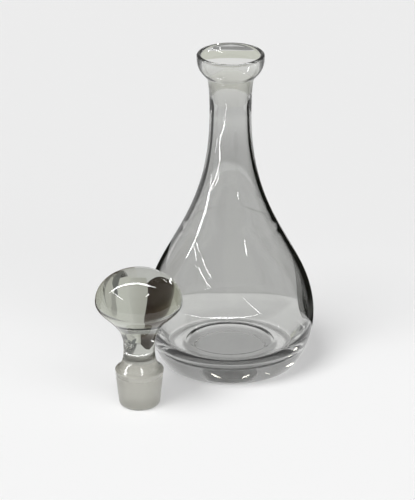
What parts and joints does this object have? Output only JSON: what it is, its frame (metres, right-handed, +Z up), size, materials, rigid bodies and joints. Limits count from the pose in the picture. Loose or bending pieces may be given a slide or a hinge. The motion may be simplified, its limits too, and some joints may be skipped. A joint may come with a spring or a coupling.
{
  "type": "glass carafe",
  "caption": "Round-bellied glass carafe with a thick base, a cup-shaped collar and a ground neck, with its solid ball stopper standing beside it.",
  "frame": {"origin": "centre of the plane that the carafe stands on, on the carafe's own axis", "axes": "+Z up along the carafe's axis; -Y towards the viewer of the picture; +X to the viewer's right; the stopper stands at -X, -Y"},
  "size_m": [0.1592, 0.1728, 0.24],
  "materials": {
    "carafe_glass": "clear and polished, with a faint grey tint; the socket in the neck is finely ground",
    "stopper_glass": "clear and polished, with a faint grey tint; the plug is finely ground"
  },
  "bodies": {
    "carafe": {"carafe_body": "carafe_glass"},
    "stopper": {"stopper": "stopper_glass"}
  },
  "joints": [
    {"name": "stopper_lift", "type": "slide", "parent": "carafe", "child": "stopper", "axis": [0, 0, 1], "range_m": [0, 0.26]}
  ]
}
